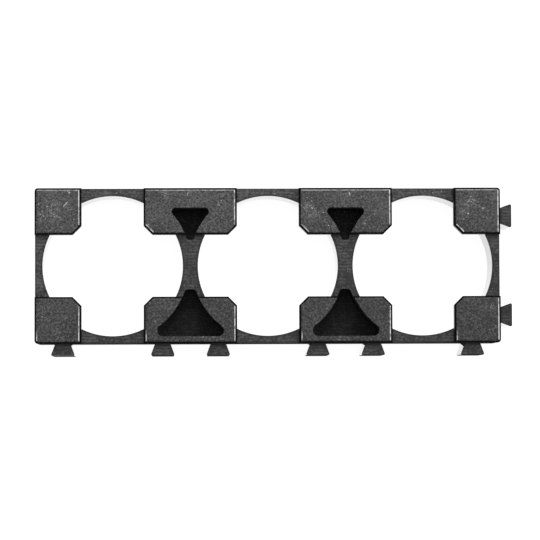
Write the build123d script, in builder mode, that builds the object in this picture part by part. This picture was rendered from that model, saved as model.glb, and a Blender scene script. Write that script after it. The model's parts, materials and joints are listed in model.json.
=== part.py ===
from build123d import *
import os

# Holder bracket for a row of cylindrical cells, moulded in one piece of ABS.
# The cells push in from below. Corner stops hold their ends, and the metal strip that is welded
# to them lies in the cross channels between the stops. Dovetail tabs on two sides slide into the
# sockets of the next bracket, so that brackets tile in both directions.
# Millimetres. The row runs along X, the cell side is at Z = 0 and the strip side faces +Z.
# The origin is on the middle cell's axis.

# Cells and the sleeves that hold them
cell_count = 3
cell_diameter = 18.0
cell_clearance = 0.15  # all round a cell
bore_wall = 1.95  # the thinnest wall between two bores, and twice the thinnest outer wall
sleeve_depth = 6.0  # how far a cell stands in its bore
bore_lead_in = 0.3
body_corner_round = 0.4

# Corner stops and the strip channels between them
strip_width = 8.0
strip_clearance = 0.05  # each side of the strip
stop_height = 1.5
stop_chamfer = 1.15  # across each stop's inner corner
stop_edge_round = 0.4

# Dovetail tabs and their sockets
tab_neck = 2.0
tab_width = 3.2
tab_reach = 1.6
tab_corner_round = 0.2
tab_from_corner = 3.625  # from a cell square's corner to the middle of its tab
tab_clearance = 0.1  # all round a tab in its socket

# Core pockets, which keep the webs between the cells at an even wall
pocket_floor = 1.2
small_pocket_wall = 1.15  # to the bores on both sides
small_pocket_margin = 2.6  # to the bracket's outer face
small_pocket_tip = 0.8  # the width of its blunt end
small_pocket_round = 0.5
large_pocket_wall = 0.8
large_pocket_margin = 0.9
large_pocket_tip = 1.3
large_pocket_round = 0.75

# Sizes that follow
bore_radius = cell_diameter / 2 + cell_clearance
cell_pitch = 2 * bore_radius + bore_wall
row_length = cell_count * cell_pitch
row_width = cell_pitch
channel_width = strip_width + 2 * strip_clearance
stop_top = sleeve_depth + stop_height
tab_offset = cell_pitch / 2 - tab_from_corner
tip_round_share = 0.45  # a pocket's blunt end is rounded over nearly its whole width

cells = GridLocations(cell_pitch, 0, cell_count, 1)
webs = GridLocations(cell_pitch, 0, cell_count - 1, 1)


def dovetail(gap):
    """A tab's plan, pointing along +Y from the face it stands on, grown by a gap on all sides."""
    flare = (tab_width - tab_neck) / 2 / tab_reach
    foot = tab_neck / 2 + gap
    head = foot + flare * (tab_reach + gap)
    with BuildSketch() as plan:
        with BuildLine():
            Polyline(
                (-foot, 0),
                (-head, tab_reach + gap),
                (head, tab_reach + gap),
                (foot, 0),
                close=True,
            )
        make_face()
        fillet(plan.vertices().group_by(Axis.Y)[-1], radius=tab_corner_round)
    return plan.sketch


def along_row(side_y, turn):
    """Dovetail places along one long side: two to each cell, facing out or in."""
    return [
        Location((cell.position.X + offset, side_y, 0), (0, 0, turn))
        for cell in cells
        for offset in (-tab_offset, tab_offset)
    ]


def on_end(side_x, turn):
    """Dovetail places on one end of the row."""
    return [Location((side_x, y, 0), (0, 0, turn)) for y in (-tab_offset, tab_offset)]


def pocket(wall, margin, tip, corner_round):
    """A core pocket's plan on a web: two sides follow the bores, and its flat base faces +Y."""
    side_radius = bore_radius + wall
    base_y = row_width / 2 - margin
    tip_y = (side_radius**2 - (cell_pitch / 2 - tip / 2) ** 2) ** 0.5
    with BuildSketch() as plan:
        with Locations((0, (base_y + tip_y) / 2)):
            Rectangle(cell_pitch, base_y - tip_y)
        with GridLocations(cell_pitch, 0, 2, 1):
            Circle(side_radius, mode=Mode.SUBTRACT)
        base_corners = plan.vertices().group_by(Axis.Y)[-1]
        fillet(base_corners, radius=corner_round)
        tip_corners = plan.vertices().group_by(Axis.Y)[0]
        fillet(tip_corners, radius=min(corner_round, tip * tip_round_share))
    return plan.sketch


tab_plan = dovetail(0)
socket_plan = dovetail(tab_clearance)
small_pocket_plan = pocket(
    small_pocket_wall, small_pocket_margin, small_pocket_tip, small_pocket_round
)
large_pocket_plan = pocket(
    large_pocket_wall, large_pocket_margin, large_pocket_tip, large_pocket_round
)

with BuildPart() as cell_holder_bracket:
    # The sleeve plate, with a bore for each cell
    with BuildSketch() as sleeve_plan:
        RectangleRounded(row_length, row_width, body_corner_round)
        with cells:
            Circle(bore_radius, mode=Mode.SUBTRACT)
    extrude(amount=sleeve_depth)

    # The corner stops: what the two strip channels and the chamfers leave of each cell's square
    with BuildSketch(Plane.XY.offset(sleeve_depth)) as stop_plan:
        RectangleRounded(row_length, row_width, body_corner_round)
        with cells:
            Rectangle(channel_width, row_width, mode=Mode.SUBTRACT)
            Rectangle(cell_pitch, channel_width, mode=Mode.SUBTRACT)
            across_chamfers = (channel_width + stop_chamfer) * 2**0.5
            Rectangle(across_chamfers, across_chamfers, rotation=45, mode=Mode.SUBTRACT)
    extrude(amount=stop_height)
    stop_rims = cell_holder_bracket.faces().group_by(Axis.Z)[-1].edges()
    fillet(stop_rims, radius=stop_edge_round)

    # The lead-in at each bore's mouth
    bore_mouths = cell_holder_bracket.edges().filter_by(GeomType.CIRCLE).group_by(Axis.Z)[0]
    chamfer(bore_mouths.filter_by(lambda edge: edge.radius > cell_diameter / 2), length=bore_lead_in)

    # Dovetail tabs on the front side and the right end
    with BuildSketch() as tab_plans:
        with Locations(*along_row(-row_width / 2, 180), *on_end(row_length / 2, -90)):
            add(tab_plan)
    extrude(amount=sleeve_depth)

    # Their sockets on the back side and the left end, open to the cell side and shut by the stops
    with BuildSketch() as socket_plans:
        with Locations(*along_row(row_width / 2, 180), *on_end(-row_length / 2, -90)):
            add(socket_plan)
    extrude(amount=sleeve_depth, mode=Mode.SUBTRACT)

    # Core pockets in the webs, open to the strip side
    with BuildSketch(Plane.XY.offset(stop_top)) as pocket_plans:
        with webs:
            add(small_pocket_plan)
            add(large_pocket_plan, rotation=180)
    extrude(amount=pocket_floor - stop_top, mode=Mode.SUBTRACT)

cell_holder_bracket.part.label = "cell_holder_bracket"

os.makedirs("parts", exist_ok=True)
export_step(cell_holder_bracket.part, "parts/cell_holder_bracket.step")
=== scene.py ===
import json
import math

import bpy
from mathutils import Matrix, Vector


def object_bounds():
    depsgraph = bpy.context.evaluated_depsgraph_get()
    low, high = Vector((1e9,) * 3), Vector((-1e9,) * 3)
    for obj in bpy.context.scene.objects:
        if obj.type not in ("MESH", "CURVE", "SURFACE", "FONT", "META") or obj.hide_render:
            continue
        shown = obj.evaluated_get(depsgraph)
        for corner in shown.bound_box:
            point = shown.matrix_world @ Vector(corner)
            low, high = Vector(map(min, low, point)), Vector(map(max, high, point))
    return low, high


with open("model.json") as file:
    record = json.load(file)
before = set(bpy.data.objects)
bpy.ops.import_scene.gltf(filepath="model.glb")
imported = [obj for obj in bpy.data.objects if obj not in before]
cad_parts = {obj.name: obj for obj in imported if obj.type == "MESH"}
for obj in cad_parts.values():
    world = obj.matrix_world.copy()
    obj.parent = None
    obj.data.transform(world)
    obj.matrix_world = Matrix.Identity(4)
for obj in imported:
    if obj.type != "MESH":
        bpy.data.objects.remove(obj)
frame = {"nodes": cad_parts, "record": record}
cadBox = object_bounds()
bracket = frame["nodes"]["cell_holder_bracket"]
mounts = {mount["name"]: mount for mount in frame["record"]["mounts"]}

# sizes of the bracket in millimetres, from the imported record
mm = 0.001
pitch = (mounts["bore_right"]["pos_m"][0] - mounts["bore_middle"]["pos_m"][0]) / mm
boreRadius = mounts["bore_middle"]["dims"]["r_mm"]
sleeveTop = mounts["strip_channel_row"]["pos_m"][2] / mm
stopTop = mounts["strip_side_face"]["pos_m"][2] / mm
halfLength = pitch * 1.5
halfWidth = pitch / 2
print("bracket loaded, with cells", round(pitch, 2), "mm apart")


class Sock:
    # an output socket; the operators on it add Math nodes
    def __init__(self, graph, socket):
        self.graph = graph
        self.socket = socket

    def __add__(self, other):
        return self.graph.maths("ADD", self, other)

    def __radd__(self, other):
        return self.graph.maths("ADD", other, self)

    def __sub__(self, other):
        return self.graph.maths("SUBTRACT", self, other)

    def __rsub__(self, other):
        return self.graph.maths("SUBTRACT", other, self)

    def __mul__(self, other):
        return self.graph.maths("MULTIPLY", self, other)

    def __rmul__(self, other):
        return self.graph.maths("MULTIPLY", other, self)

    def __truediv__(self, other):
        return self.graph.maths("DIVIDE", self, other)

    def __rtruediv__(self, other):
        return self.graph.maths("DIVIDE", other, self)

    def __pow__(self, other):
        return self.graph.maths("POWER", self, other)

    def __rpow__(self, other):
        return self.graph.maths("POWER", other, self)

    def __abs__(self):
        return self.graph.maths("ABSOLUTE", self)


class Graph:
    def __init__(self, owner):
        owner.use_nodes = True
        self.tree = owner.node_tree
        self.tree.nodes.clear()

    # a new node: its settings come first, then the values or links of its sockets
    def node(self, kind, settings=None, inputs=None, out=0):
        made = self.tree.nodes.new(kind)
        for name, value in (settings or {}).items():
            setattr(made, name, value)
        for name, value in (inputs or {}).items():
            if isinstance(value, Sock):
                self.tree.links.new(value.socket, made.inputs[name])
            else:
                made.inputs[name].default_value = value
        return Sock(self, made.outputs[out]) if len(made.outputs) else None

    def maths(self, operation, *values):
        return self.node("ShaderNodeMath", {"operation": operation}, dict(enumerate(values)))

    def clamp(self, value, low=0.0, high=1.0):
        return self.node("ShaderNodeClamp", inputs={"Value": value, "Min": low, "Max": high})

    # 0 at low, 1 at high and smooth between; low may be the larger one
    def step(self, value, low, high):
        return self.node("ShaderNodeMapRange", {"interpolation_type": "SMOOTHSTEP"},
                         {"Value": value, "From Min": low, "From Max": high})

    def mixColors(self, factor, first, second):
        return self.node("ShaderNodeMix", {"data_type": "RGBA"},
                         {"Factor": factor, "A": first, "B": second}, out="Result")

    def noise(self, vector, scale, detail=2.0, roughness=0.5):
        return self.node("ShaderNodeTexNoise", inputs={
            "Vector": vector, "Scale": scale, "Detail": detail, "Roughness": roughness})

    # the three parts of a vector
    def split(self, vector):
        parts = self.node("ShaderNodeSeparateXYZ", inputs={0: vector}).socket.node.outputs
        return [Sock(self, part) for part in parts]

    def distance(self, first, second):
        return self.node("ShaderNodeVectorMath", {"operation": "DISTANCE"},
                         {0: first, 1: second}, out="Value")

    # the vector from a middle, turned about Z and in units of size, for marks that run at that angle
    def turned(self, vector, degrees, size, middle=(0, 0, 0)):
        return self.node("ShaderNodeMapping", {"vector_type": "TEXTURE"}, {
            "Vector": vector, "Location": middle, "Rotation": (0, 0, math.radians(degrees)), "Scale": size})


# a grey with a trace of blue
def gray(level):
    return (level, level, level * 1.02, 1.0)


# the dovetail tabs on the front and the right end, in millimetres; offset is from the cells' axes
tab = {"offset": 6.5, "neck": 2.0, "width": 3.2, "reach": -cadBox[0][1] / mm - halfWidth}


# how far inside a tab's flanks a point lies, from its distance to the cell's axis along the side
# that carries the tab and from its depth inside the body
def insideFlanks(aside, depth):
    flare = (tab["width"] - tab["neck"]) / 2 / tab["reach"]
    return tab["neck"] / 2 - depth * flare - abs(aside - tab["offset"])


class Places:
    # where a point lies on the bracket, in millimetres, and which way the surface faces there
    def __init__(self, g):
        place = g.node("ShaderNodeTexCoord", out="Object")
        self.inMm = g.node("ShaderNodeVectorMath", {"operation": "SCALE"}, {0: place, "Scale": 1 / mm})
        self.x, self.y, self.z = g.split(self.inMm)
        self.right, self.back, self.up = g.split(g.node("ShaderNodeNewGeometry", out="Normal"))
        cell = g.clamp(g.maths("ROUND", self.x / pitch), -1.0, 1.0)
        fromAxis = self.x - cell * pitch
        self.radius = (fromAxis * fromAxis + self.y * self.y) ** 0.5
        self.fromFront = self.y + halfWidth
        self.fromBack = halfWidth - self.y
        self.fromEnd = halfLength - abs(self.x)
        self.inFrontTab = insideFlanks(abs(fromAxis), self.fromFront)
        self.inEndTab = insideFlanks(abs(self.y), self.fromEnd)


class Regions:
    # shares from 0 to 1: how much a point belongs to each part of the bracket
    def __init__(self, g, at):
        self.onStop = g.step(at.z, sleeveTop + 0.1, stopTop - 0.5)
        self.onPlate = 1 - self.onStop
        self.onWeb = g.step(abs(at.y), 7.5, 4.5) * g.step(at.x, -29.0, -24.0)  # and not on the left end
        self.onTab = g.step(at.fromEnd, 0.0, -0.1)
        self.inPocket = self.pocketShare(g, at)
        wall = g.step(abs(at.up), 0.3, 0.1) * (1 - self.inPocket)
        drawn = self.drawnShare(g, at)
        self.smooth = wall * drawn * g.step(at.z, sleeveTop + 0.05, sleeveTop - 0.05)
        self.outer = wall * (1 - drawn)
        self.front = self.outer * g.step(at.back, -0.7, -0.95)

    # below the plate's top, clear of the bores and the outer sides, and not on the underside
    def pocketShare(self, g, at):
        share = g.step(at.z, sleeveTop - 0.05, sleeveTop - 0.6) * g.step(at.up, -0.8, -0.4)
        share = share * g.step(at.radius, boreRadius + 0.3, boreRadius + 0.5)
        for depth, low, high in ((at.fromFront, 0.5, 0.8), (at.fromBack, 0.5, 0.8), (at.fromEnd, 2.0, 3.0)):
            share = share * g.step(depth, low, high)
        return share

    # the bores' walls and the tabs' flanks
    def drawnShare(self, g, at):
        share = g.step(at.radius, boreRadius + 0.30, boreRadius + 0.10)
        for depth, facing in ((at.fromFront, at.back), (at.fromEnd, at.right)):
            flank = g.step(depth, -0.05, -0.15) * g.step(facing * facing, 0.6, 0.3)
            share = g.maths("MAXIMUM", share, flank)
        return share


grain = {
    "perMm": 3.6,
    "detail": 3.0,
    "crispness": 0.75,
    "crumbsPerMm": 5.5,
    "crumbHeight": 0.22,
    "cloudsPerMm": 0.35,      # wide faint clouds of more and fewer grains
    "cloudHeight": 0.22,
    "shadeThinning": 0.14,         # how fast the grains thin out under the painted shade
    "low": 0.28,              # heights between which a grain rises out of the dark
    "high": 0.77,
    "frontShade": 0.19,     # painted shade: the front side is drawn darker than the back
    "endShade": 0.11,       # and the right end darker than the left
    "plateShade": 0.30,     # the recessed sleeve plate darker than the stops
    "webShade": 0.28,       # the webs between the cells darker again
    "tabShade": 0.35,       # and so are the right end's tabs
}


# painted shade: how much darker the skin is drawn towards the front and the right end, on the recessed
# plate, on the webs and on the right end's tabs
def paintedShadeOf(at, part):
    lean = (1 - at.y / halfWidth) * grain["frontShade"] + (at.x / halfLength + 1) * grain["endShade"]
    below = part.onWeb * grain["webShade"] + part.onTab * grain["tabShade"] + grain["plateShade"]
    return lean + part.onPlate * below


# pale grains of the moulded skin; there are fewer of them under the painted shade, which darkens the skin
# there
def grainsOf(g, at, paintedShade):
    coarse = g.noise(at.inMm, grain["perMm"], grain["detail"], grain["crispness"])
    crumbs = g.node("ShaderNodeTexVoronoi", inputs={
        "Vector": at.inMm, "Scale": grain["crumbsPerMm"]}, out="Color")
    crumb = g.node("ShaderNodeSeparateColor", inputs={0: crumbs}, out="Red")
    cloud = g.noise(at.inMm, grain["cloudsPerMm"])
    height = coarse + (crumb - 0.5) * grain["crumbHeight"] + (cloud - 0.5) * grain["cloudHeight"]
    return g.step(height - paintedShade * grain["shadeThinning"], grain["low"], grain["high"])


cutter = {
    "pitch": 0.42,            # millimetres between the marks
    "wander": 0.42,           # how far they stray
    "wandersPerMm": 0.5,
    "stretchesPerMm": 0.9,    # how often they break off
}


# fine parallel marks that the mould's cutter left, broken into stretches
def cutterMarks(g, at):
    across = at.y + g.noise(at.inMm, cutter["wandersPerMm"]) * cutter["wander"]
    wave = g.maths("SINE", across * (2 * math.pi / cutter["pitch"]))
    stretches = g.step(g.noise(at.inMm, cutter["stretchesPerMm"], 2.0, 0.6), 0.42, 0.62)
    return (wave * 0.5 + 0.5) * stretches


# rubbed patches: the cell they lie beside, the offset from its axis and the radius in millimetres
rubbedPatches = [
    (-1, -8.2, 6.9, 2.4), (-1, -5.6, 7.6, 0.9), (-1, 6.8, 9.0, 1.1), (0, -5.8, 8.9, 1.3),
    (0, 5.6, 7.2, 1.8), (1, -9.6, 9.2, 0.9), (1, 6.4, 8.1, 1.9), (1, 5.4, 6.6, 1.1),
    (1, 9.4, -6.2, 1.4), (1, 9.3, -8.4, 1.2), (-1, -9.8, -6.0, 1.3), (-1, -6.5, -8.6, 1.3),
    (0, -8.0, -9.2, 1.3), (1, -10.6, -9.3, 1.2), (0, -9.9, 1.5, 1.0), (1, -10.1, -1.0, 0.9),
]

# single marks on the stops: the cell beside them, offset, length and width in millimetres, and degrees
scratchMarks = [
    (-1, -6.1, 8.0, 0.50, 0.09, 48), (-1, -5.6, 9.5, 0.16, 0.14, 0), (-1, 9.8, 9.3, 0.26, 0.08, 80),
    (-1, -6.0, -6.8, 0.34, 0.07, 40), (1, 5.9, 6.7, 0.14, 0.12, 0), (1, -9.6, 9.3, 0.28, 0.09, 95),
    (0, -6.4, 7.9, 0.22, 0.06, -30), (1, 7.9, 7.4, 0.30, 0.05, 20), (0, 7.7, -5.6, 0.30, 0.06, 62),
    (1, 8.8, -5.4, 0.42, 0.06, 78), (-1, 5.6, -7.3, 0.26, 0.06, -55), (0, -6.0, -7.9, 0.30, 0.06, 15),
]


def onStops(cell, dx, dy):
    return (cell * pitch + dx, dy, stopTop)


def patchesOf(g, at):
    patch = 0.0
    for cell, dx, dy, radius in rubbedPatches:
        away = g.distance(at.inMm, onStops(cell, dx, dy))
        patch = g.step(away, radius, radius * 0.3) + patch
    return g.clamp(patch)


specks = {
    "perMm": 3.1,
    "edge": 0.27,             # where a speck has faded out, as a share of the spacing
    "core": 0.10,             # and where it is full
    "clustersPerMm": 2.1,
    "rarity": 0.61,
    "inPatches": 0.16,        # how much less rare they are in a rubbed patch
}


# pale specks: thick in the rubbed patches and rare elsewhere
def specksOf(g, at, patch):
    spacing = {"Vector": at.inMm, "Scale": specks["perMm"]}
    dots = g.node("ShaderNodeTexVoronoi", inputs=spacing, out="Distance")
    pick = g.noise(at.inMm, specks["clustersPerMm"], 1.0) + patch * specks["inPatches"]
    chosen = g.step(pick, specks["rarity"], specks["rarity"] + 0.07)
    return g.step(dots, specks["edge"], specks["core"]) * chosen


fineScratches = {
    "length": 0.7,            # millimetres
    "width": 0.11,
    "ways": ((38, 0.70), (-24, 0.72), (81, 0.73)),  # the degrees of each way they run, and its rarity
    "inPatches": 0.08,        # how much less rare they are in a rubbed patch
}


def scratchesOf(g, at, patch):
    marks = 0.0
    for degrees, rarity in fineScratches["ways"]:
        along = g.turned(at.inMm, degrees, (fineScratches["length"], fineScratches["width"], 1.0))
        streak = g.noise(along, 1.0, 1.0, 0.4) + patch * fineScratches["inPatches"]
        marks = g.step(streak, rarity, rarity + 0.04) + marks
    return marks * g.step(g.noise(at.inMm, 0.8, 1.0), 0.42, 0.58)


def singleScratches(g, at):
    marks = 0.0
    for cell, dx, dy, length, width, degrees in scratchMarks:
        along = g.turned(at.inMm, degrees, (length, width, 1.0), onStops(cell, dx, dy))
        marks = g.step(g.distance(along, (0, 0, 0)), 1.1, 0.5) + marks
    return marks * g.step(g.noise(at.inMm, 6.0, 1.0), 0.32, 0.5)


# widths of the painted shade lines along the plate's edges, in millimetres
edgeWidth = {"bore": 0.42, "front": 0.40, "back": 0.32, "end": 0.30, "tabEnd": 0.22, "tabFlank": 0.24}


# painted shade: dark lines along the bores' rims, the plate's back, front and end edges, and the tabs' ends
# and flanks
def plateEdgeShade(g, at):
    lines = g.step(at.radius - boreRadius, edgeWidth["bore"], 0.02)
    lines = lines + g.step(at.fromBack, edgeWidth["back"], 0.02)
    sides = ((at.fromFront, edgeWidth["front"], at.inFrontTab), (at.fromEnd, edgeWidth["end"], at.inEndTab))
    for depth, width, inTab in sides:
        side = g.step(depth, width, 0.02) * g.step(depth, -0.5, -0.1)
        tabEnd = g.step(depth + tab["reach"], edgeWidth["tabEnd"], 0.0)
        tabFlank = g.step(depth, 0.0, -0.1) * (g.step(inTab, edgeWidth["tabFlank"], 0.04) + 0.1)
        lines = side + tabEnd + tabFlank + lines
    return lines


rims = {
    "band": 0.5,              # millimetres below the stops' tops that belong to the rim
    "backLine": 0.45,         # strength of the painted highlight along the back, beside the right side's
    "cornerLine": 0.8,        # and at the left front corners
    "breaksPerMm": 1.7,
}


# the stops' rims: painted shade where they turn down, and a painted highlight along the top's edge, on the
# sides facing right, along the back row's back and front left edges, and at the left front corners
def rimShadeAndHighlightOf(g, at, broken):
    aroundTop = g.step(at.z, stopTop - rims["band"], stopTop - rims["band"] * 0.7)
    turnedDown = g.step(at.up, 0.95, 0.80) * aroundTop
    crest = g.step(at.up, 0.9985, 0.988) * g.step(at.up, 0.90, 0.955) * aroundTop
    tilt = (1.0001 - at.up * at.up) ** 0.5
    toRight = at.right / tilt
    toBack = at.back / tilt
    backRow = g.step(at.y, -1.0, 1.0)
    atCorner = g.step(toRight, -0.90, -0.98) * g.step(at.y, -8.2, -9.4)
    paleShare = g.step(toRight, 0.85, 0.97) + g.step(toBack, 0.85, 0.97) * backRow * rims["backLine"]
    paleShare = paleShare + g.step(toRight + toBack, -1.30, -1.40) * backRow  # chamfers facing front left
    paleShare = paleShare + atCorner * rims["cornerLine"]
    return turnedDown, crest * g.clamp(paleShare) * (broken * 0.7 + 0.3)


# painted highlight along the left front tab's end
def tabHighlightOf(g, at, broken):
    line = g.step(at.fromFront + tab["reach"], 0.17, 0.09) * g.step(at.up, 0.5, 0.9)
    return line * g.step(at.x, -24.0, -25.0) * (broken * 0.6 + 0.4)


class WearAndPaintedLight:
    # shares from 0 to 1: how much of each mark the skin bears at a point, and how much painted shade and
    # painted highlight lie there
    def __init__(self, g, at, part):
        self.patch = patchesOf(g, at)
        self.speck = specksOf(g, at, self.patch)
        self.scratch = scratchesOf(g, at, self.patch)
        self.single = singleScratches(g, at)
        self.paintedShade = paintedShadeOf(at, part)
        self.grain = grainsOf(g, at, self.paintedShade)
        self.cutter = cutterMarks(g, at) * part.onPlate
        self.paleShare = g.step(at.y, -5.0, 3.0) * 0.55 + 0.45  # less on the front side
        broken = g.step(g.noise(at.inMm, rims["breaksPerMm"], 3.0, 0.75), 0.36, 0.56)
        self.turnedDown, self.rim = rimShadeAndHighlightOf(g, at, broken)
        self.tabHighlight = tabHighlightOf(g, at, broken)


absLook = {
    "dark": 0.012,            # base colour between grains
    "light": 0.128,           # base colour on grains
    "cutterLevel": 0.16,
    "speckLevel": 0.80,
    "scratchLevel": 0.50,
    "shadeLevel": 0.004,      # painted shade: colour of the darker front, right end, plate, webs and tabs, and of the plate's dark edges
    # painted shade: the pockets are drawn nearly black
    "pocketShadeLevel": 0.001,
    "rimShadeLevel": 0.002,         # painted shade where the rims turn down
    "rimHighlightLevel": 0.72,         # painted highlight along the stops' rims
    "frontFillLevel": 0.060,      # painted light: the unlit front side is drawn a little paler, so that its tabs show
    "cutterShare": 0.45,      # shares: how strongly each of these covers what is under it
    "speckShare": 0.68,
    "scratchShare": 0.30,
    "patchShare": 0.05,
    "singleShare": 0.60,
    "shadeShare": 0.35,
    "edgeShadeShare": 0.50,
    "pocketShare": 0.50,
    "rimShadeShare": 0.95,
    "tabHighlightShare": 0.13,
    "frontShare": 0.60,
    "ior": 1.5,
    "specular": 0.20,         # a matt moulded skin mirrors little
    "rough": 0.44,
    "wallRough": 0.06,        # the sleeves' walls are drawn smooth by the cores
    "grainRough": 0.14,       # what each of these adds to the roughness
    "patchRough": 0.06,
    "rimRough": -0.12,
    "pocketRough": 0.3,
    "turnedRough": 0.3,
    "rimDull": 0.85,          # the stops' rims and the outer walls mirror almost nothing
    "outerDull": 0.70,
    "frontDull": 0.28,        # what the front side adds to the outer walls' share
    "relief": 0.030,          # height of the skin's relief, in millimetres
    "reliefStrength": 0.7,
    "grainHeight": 0.8,       # shares of that height
    "speckHeight": 0.6,
    "scratchHeight": -0.5,
    "cutterHeight": 0.5,
    "edgeRound": 0.10,        # radius to which sharp edges are softened, in millimetres
}


# the skin's colour: the grain, then each layer over what is under it, with the painted shade and highlights
# among them
def skinColor(g, at, part, wearAndLight, look):
    edges = plateEdgeShade(g, at) * part.onPlate
    layers = [
        (wearAndLight.cutter * look["cutterShare"], look["cutterLevel"]),
        (wearAndLight.speck * wearAndLight.paleShare * look["speckShare"], look["speckLevel"]),
        (wearAndLight.scratch * wearAndLight.paleShare * look["scratchShare"], look["scratchLevel"]),
        (wearAndLight.patch * wearAndLight.grain * look["patchShare"], look["speckLevel"]),
        (wearAndLight.single * wearAndLight.paleShare * look["singleShare"], look["speckLevel"]),
        # painted shade: the darker front, right end, plate, webs and tabs, and dark lines along the plate's
        # edges
        (g.clamp(wearAndLight.paintedShade * look["shadeShare"] + edges * look["edgeShadeShare"]), look["shadeLevel"]),
        # painted shade in the pockets
        (part.inPocket * look["pocketShare"], look["pocketShadeLevel"]),
        # painted shade on the rims where they turn down
        (wearAndLight.turnedDown * look["rimShadeShare"], look["rimShadeLevel"]),
        # painted highlight along the stops' rims
        (wearAndLight.rim, look["rimHighlightLevel"]),
        # painted highlight along the left front tab's end
        (wearAndLight.tabHighlight * look["tabHighlightShare"], look["rimHighlightLevel"]),
        # painted light on the unlit front side
        (part.front * look["frontShare"], look["frontFillLevel"]),
    ]
    color = g.mixColors(wearAndLight.grain, gray(look["dark"]), gray(look["light"]))
    for share, level in layers:
        color = g.mixColors(share, color, gray(level))
    return color


def skinRoughness(part, wearAndLight, look):
    rough = look["rough"] + (wearAndLight.grain - 0.5) * look["grainRough"] + wearAndLight.patch * look["patchRough"]
    rough = rough + wearAndLight.rim * look["rimRough"] + part.inPocket * look["pocketRough"]
    rough = rough + wearAndLight.turnedDown * look["turnedRough"]
    return rough * (1 - part.smooth) + part.smooth * look["wallRough"]


def skinRelief(g, part, wearAndLight, look):
    height = wearAndLight.grain * look["grainHeight"] + wearAndLight.speck * look["speckHeight"]
    height = height + wearAndLight.scratch * look["scratchHeight"] + wearAndLight.cutter * look["cutterHeight"]
    softened = g.node("ShaderNodeBevel", {"samples": 6}, {"Radius": look["edgeRound"] * mm})
    return g.node("ShaderNodeBump", inputs={
        "Strength": look["reliefStrength"], "Distance": look["relief"] * mm,
        "Height": height * (1 - part.smooth), "Normal": softened})


def mouldedAbs(look):
    material = bpy.data.materials.new("blackAbs")
    g = Graph(material)
    at = Places(g)
    part = Regions(g, at)
    wearAndLight = WearAndPaintedLight(g, at, part)
    color = skinColor(g, at, part, wearAndLight, look)
    relief = skinRelief(g, part, wearAndLight, look)
    skin = g.node("ShaderNodeBsdfPrincipled", inputs={
        "Base Color": color, "Roughness": skinRoughness(part, wearAndLight, look), "IOR": look["ior"],
        "Specular IOR Level": look["specular"], "Coat Weight": part.smooth,
        "Coat Roughness": look["wallRough"], "Coat IOR": look["ior"], "Normal": relief})
    matt = g.node("ShaderNodeBsdfDiffuse", inputs={"Color": color, "Normal": relief})
    dull = wearAndLight.turnedDown * look["rimDull"] + part.outer * look["outerDull"]
    dull = dull + part.front * look["frontDull"]
    both = g.node("ShaderNodeMixShader", inputs={0: g.clamp(dull), 1: skin, 2: matt})
    g.node("ShaderNodeOutputMaterial", inputs={"Surface": both})
    return material


blackAbs = mouldedAbs(absLook)
for slot in bracket.material_slots:
    slot.material = blackAbs
print("bracket finished:", len(rubbedPatches), "rubbed patches and", len(scratchMarks), "single marks")


studio = {
    "floorSize": 1.2,
    "gap": 0.02,             # millimetres of air, so that the two flat faces don't share a plane
    "floorOwnLight": 0.93,   # nearly white to the camera, the rest comes from the lamps
    "floorColor": 0.30,
    "ambient": 0.40,
}
white = (1.0, 1.0, 1.0, 1.0)


# 1 for the camera, and for what is mirrored or seen through something
def seenDirectly(g):
    seen = 0.0
    for ray in ("Is Camera Ray", "Is Glossy Ray", "Is Transmission Ray"):
        seen = g.maths("MAXIMUM", g.node("ShaderNodeLightPath", out=ray), seen)
    return seen


def paleFloor(look):
    half = look["floorSize"] / 2
    low = cadBox[0][2] - look["gap"] * mm
    square = [(-half, -half, low), (half, -half, low), (half, half, low), (-half, half, low)]
    mesh = bpy.data.meshes.new("floor")
    mesh.from_pydata(square, [], [(0, 1, 2, 3)])
    floor = bpy.data.objects.new("floor", mesh)
    bpy.context.collection.objects.link(floor)
    material = bpy.data.materials.new("paleFloor")
    g = Graph(material)
    strength = seenDirectly(g) * look["floorOwnLight"]
    glow = g.node("ShaderNodeEmission", inputs={"Color": white, "Strength": strength})
    level = look["floorColor"]
    matt = g.node("ShaderNodeBsdfDiffuse", inputs={"Color": (level, level, level, 1.0)})
    both = g.node("ShaderNodeAddShader", inputs={0: glow, 1: matt})
    g.node("ShaderNodeOutputMaterial", inputs={"Surface": both})
    mesh.materials.append(material)


def paleWorld(look):
    world = bpy.data.worlds.new("studio")
    bpy.context.scene.world = world
    g = Graph(world)
    strength = look["ambient"] + seenDirectly(g) * (1 - look["ambient"])
    sky = g.node("ShaderNodeBackground", inputs={"Color": white, "Strength": strength})
    g.node("ShaderNodeOutputWorld", inputs={"Surface": sky})


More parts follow.
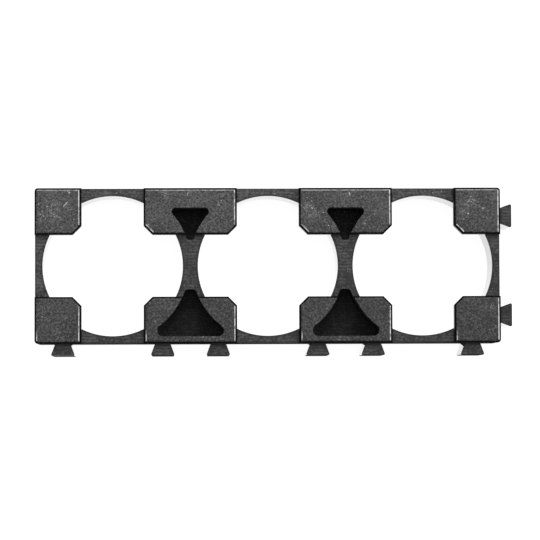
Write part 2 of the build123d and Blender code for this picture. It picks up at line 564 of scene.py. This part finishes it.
paleFloor(studio)
paleWorld(studio)


# each lamp: the side it stands on and its height in degrees, its distance and size in metres, and watts
lamps = {
    "keyRight": {"azimuth": 8, "elevation": 44, "distance": 0.6, "size": 0.14, "power": 1.05},
    "keyBack": {"azimuth": 84, "elevation": 56, "distance": 0.5, "size": 0.20, "power": 1.00},
    "overhead": {"azimuth": 75, "elevation": 82, "distance": 0.7, "size": 0.30, "power": 0.55},
}


def addLamp(name, lamp):
    turn = math.radians(lamp["azimuth"])
    rise = math.radians(lamp["elevation"])
    away = Vector((math.cos(turn) * math.cos(rise), math.sin(turn) * math.cos(rise), math.sin(rise)))
    data = bpy.data.lights.new(name, "AREA")
    data.size = lamp["size"]
    data.energy = lamp["power"]
    light = bpy.data.objects.new(name, data)
    light.location = away * lamp["distance"]
    light.rotation_euler = away.to_track_quat("Z", "Y").to_euler()
    bpy.context.collection.objects.link(light)


for name, lamp in lamps.items():
    addLamp(name, lamp)
print("studio lit by", len(lamps), "lamps")


# looks down on the strip side from slightly in front and to the left
viewpoint = {
    "aimOffset": (0.279, -0.552),  # millimetres from the middle bore's axis, at the sleeve plate's top
    "distance": 0.350,             # metres
    "leanRight": -0.0300,          # radians, as are the next two
    "leanBack": -0.0487,
    "roll": -0.00377,
    "lens": 178.5,
}


def addCamera(look):
    data = bpy.data.cameras.new("camera")
    data.lens = look["lens"]
    data.clip_start = 0.01
    camera = bpy.data.objects.new("camera", data)
    bpy.context.collection.objects.link(camera)
    aim = Vector((*look["aimOffset"], sleeveTop)) * mm
    back = Vector((math.sin(look["leanRight"]), math.sin(look["leanBack"]), 1.0)).normalized()
    up = Vector((-math.sin(look["roll"]), math.cos(look["roll"]), 0.0))
    right = up.cross(back).normalized()
    up = back.cross(right)
    turn = Matrix((right, up, back)).transposed().to_4x4()
    camera.matrix_world = Matrix.Translation(aim + back * look["distance"]) @ turn
    bpy.context.scene.camera = camera


addCamera(viewpoint)
bpy.context.scene.view_settings.view_transform = "Standard"
print("camera placed")
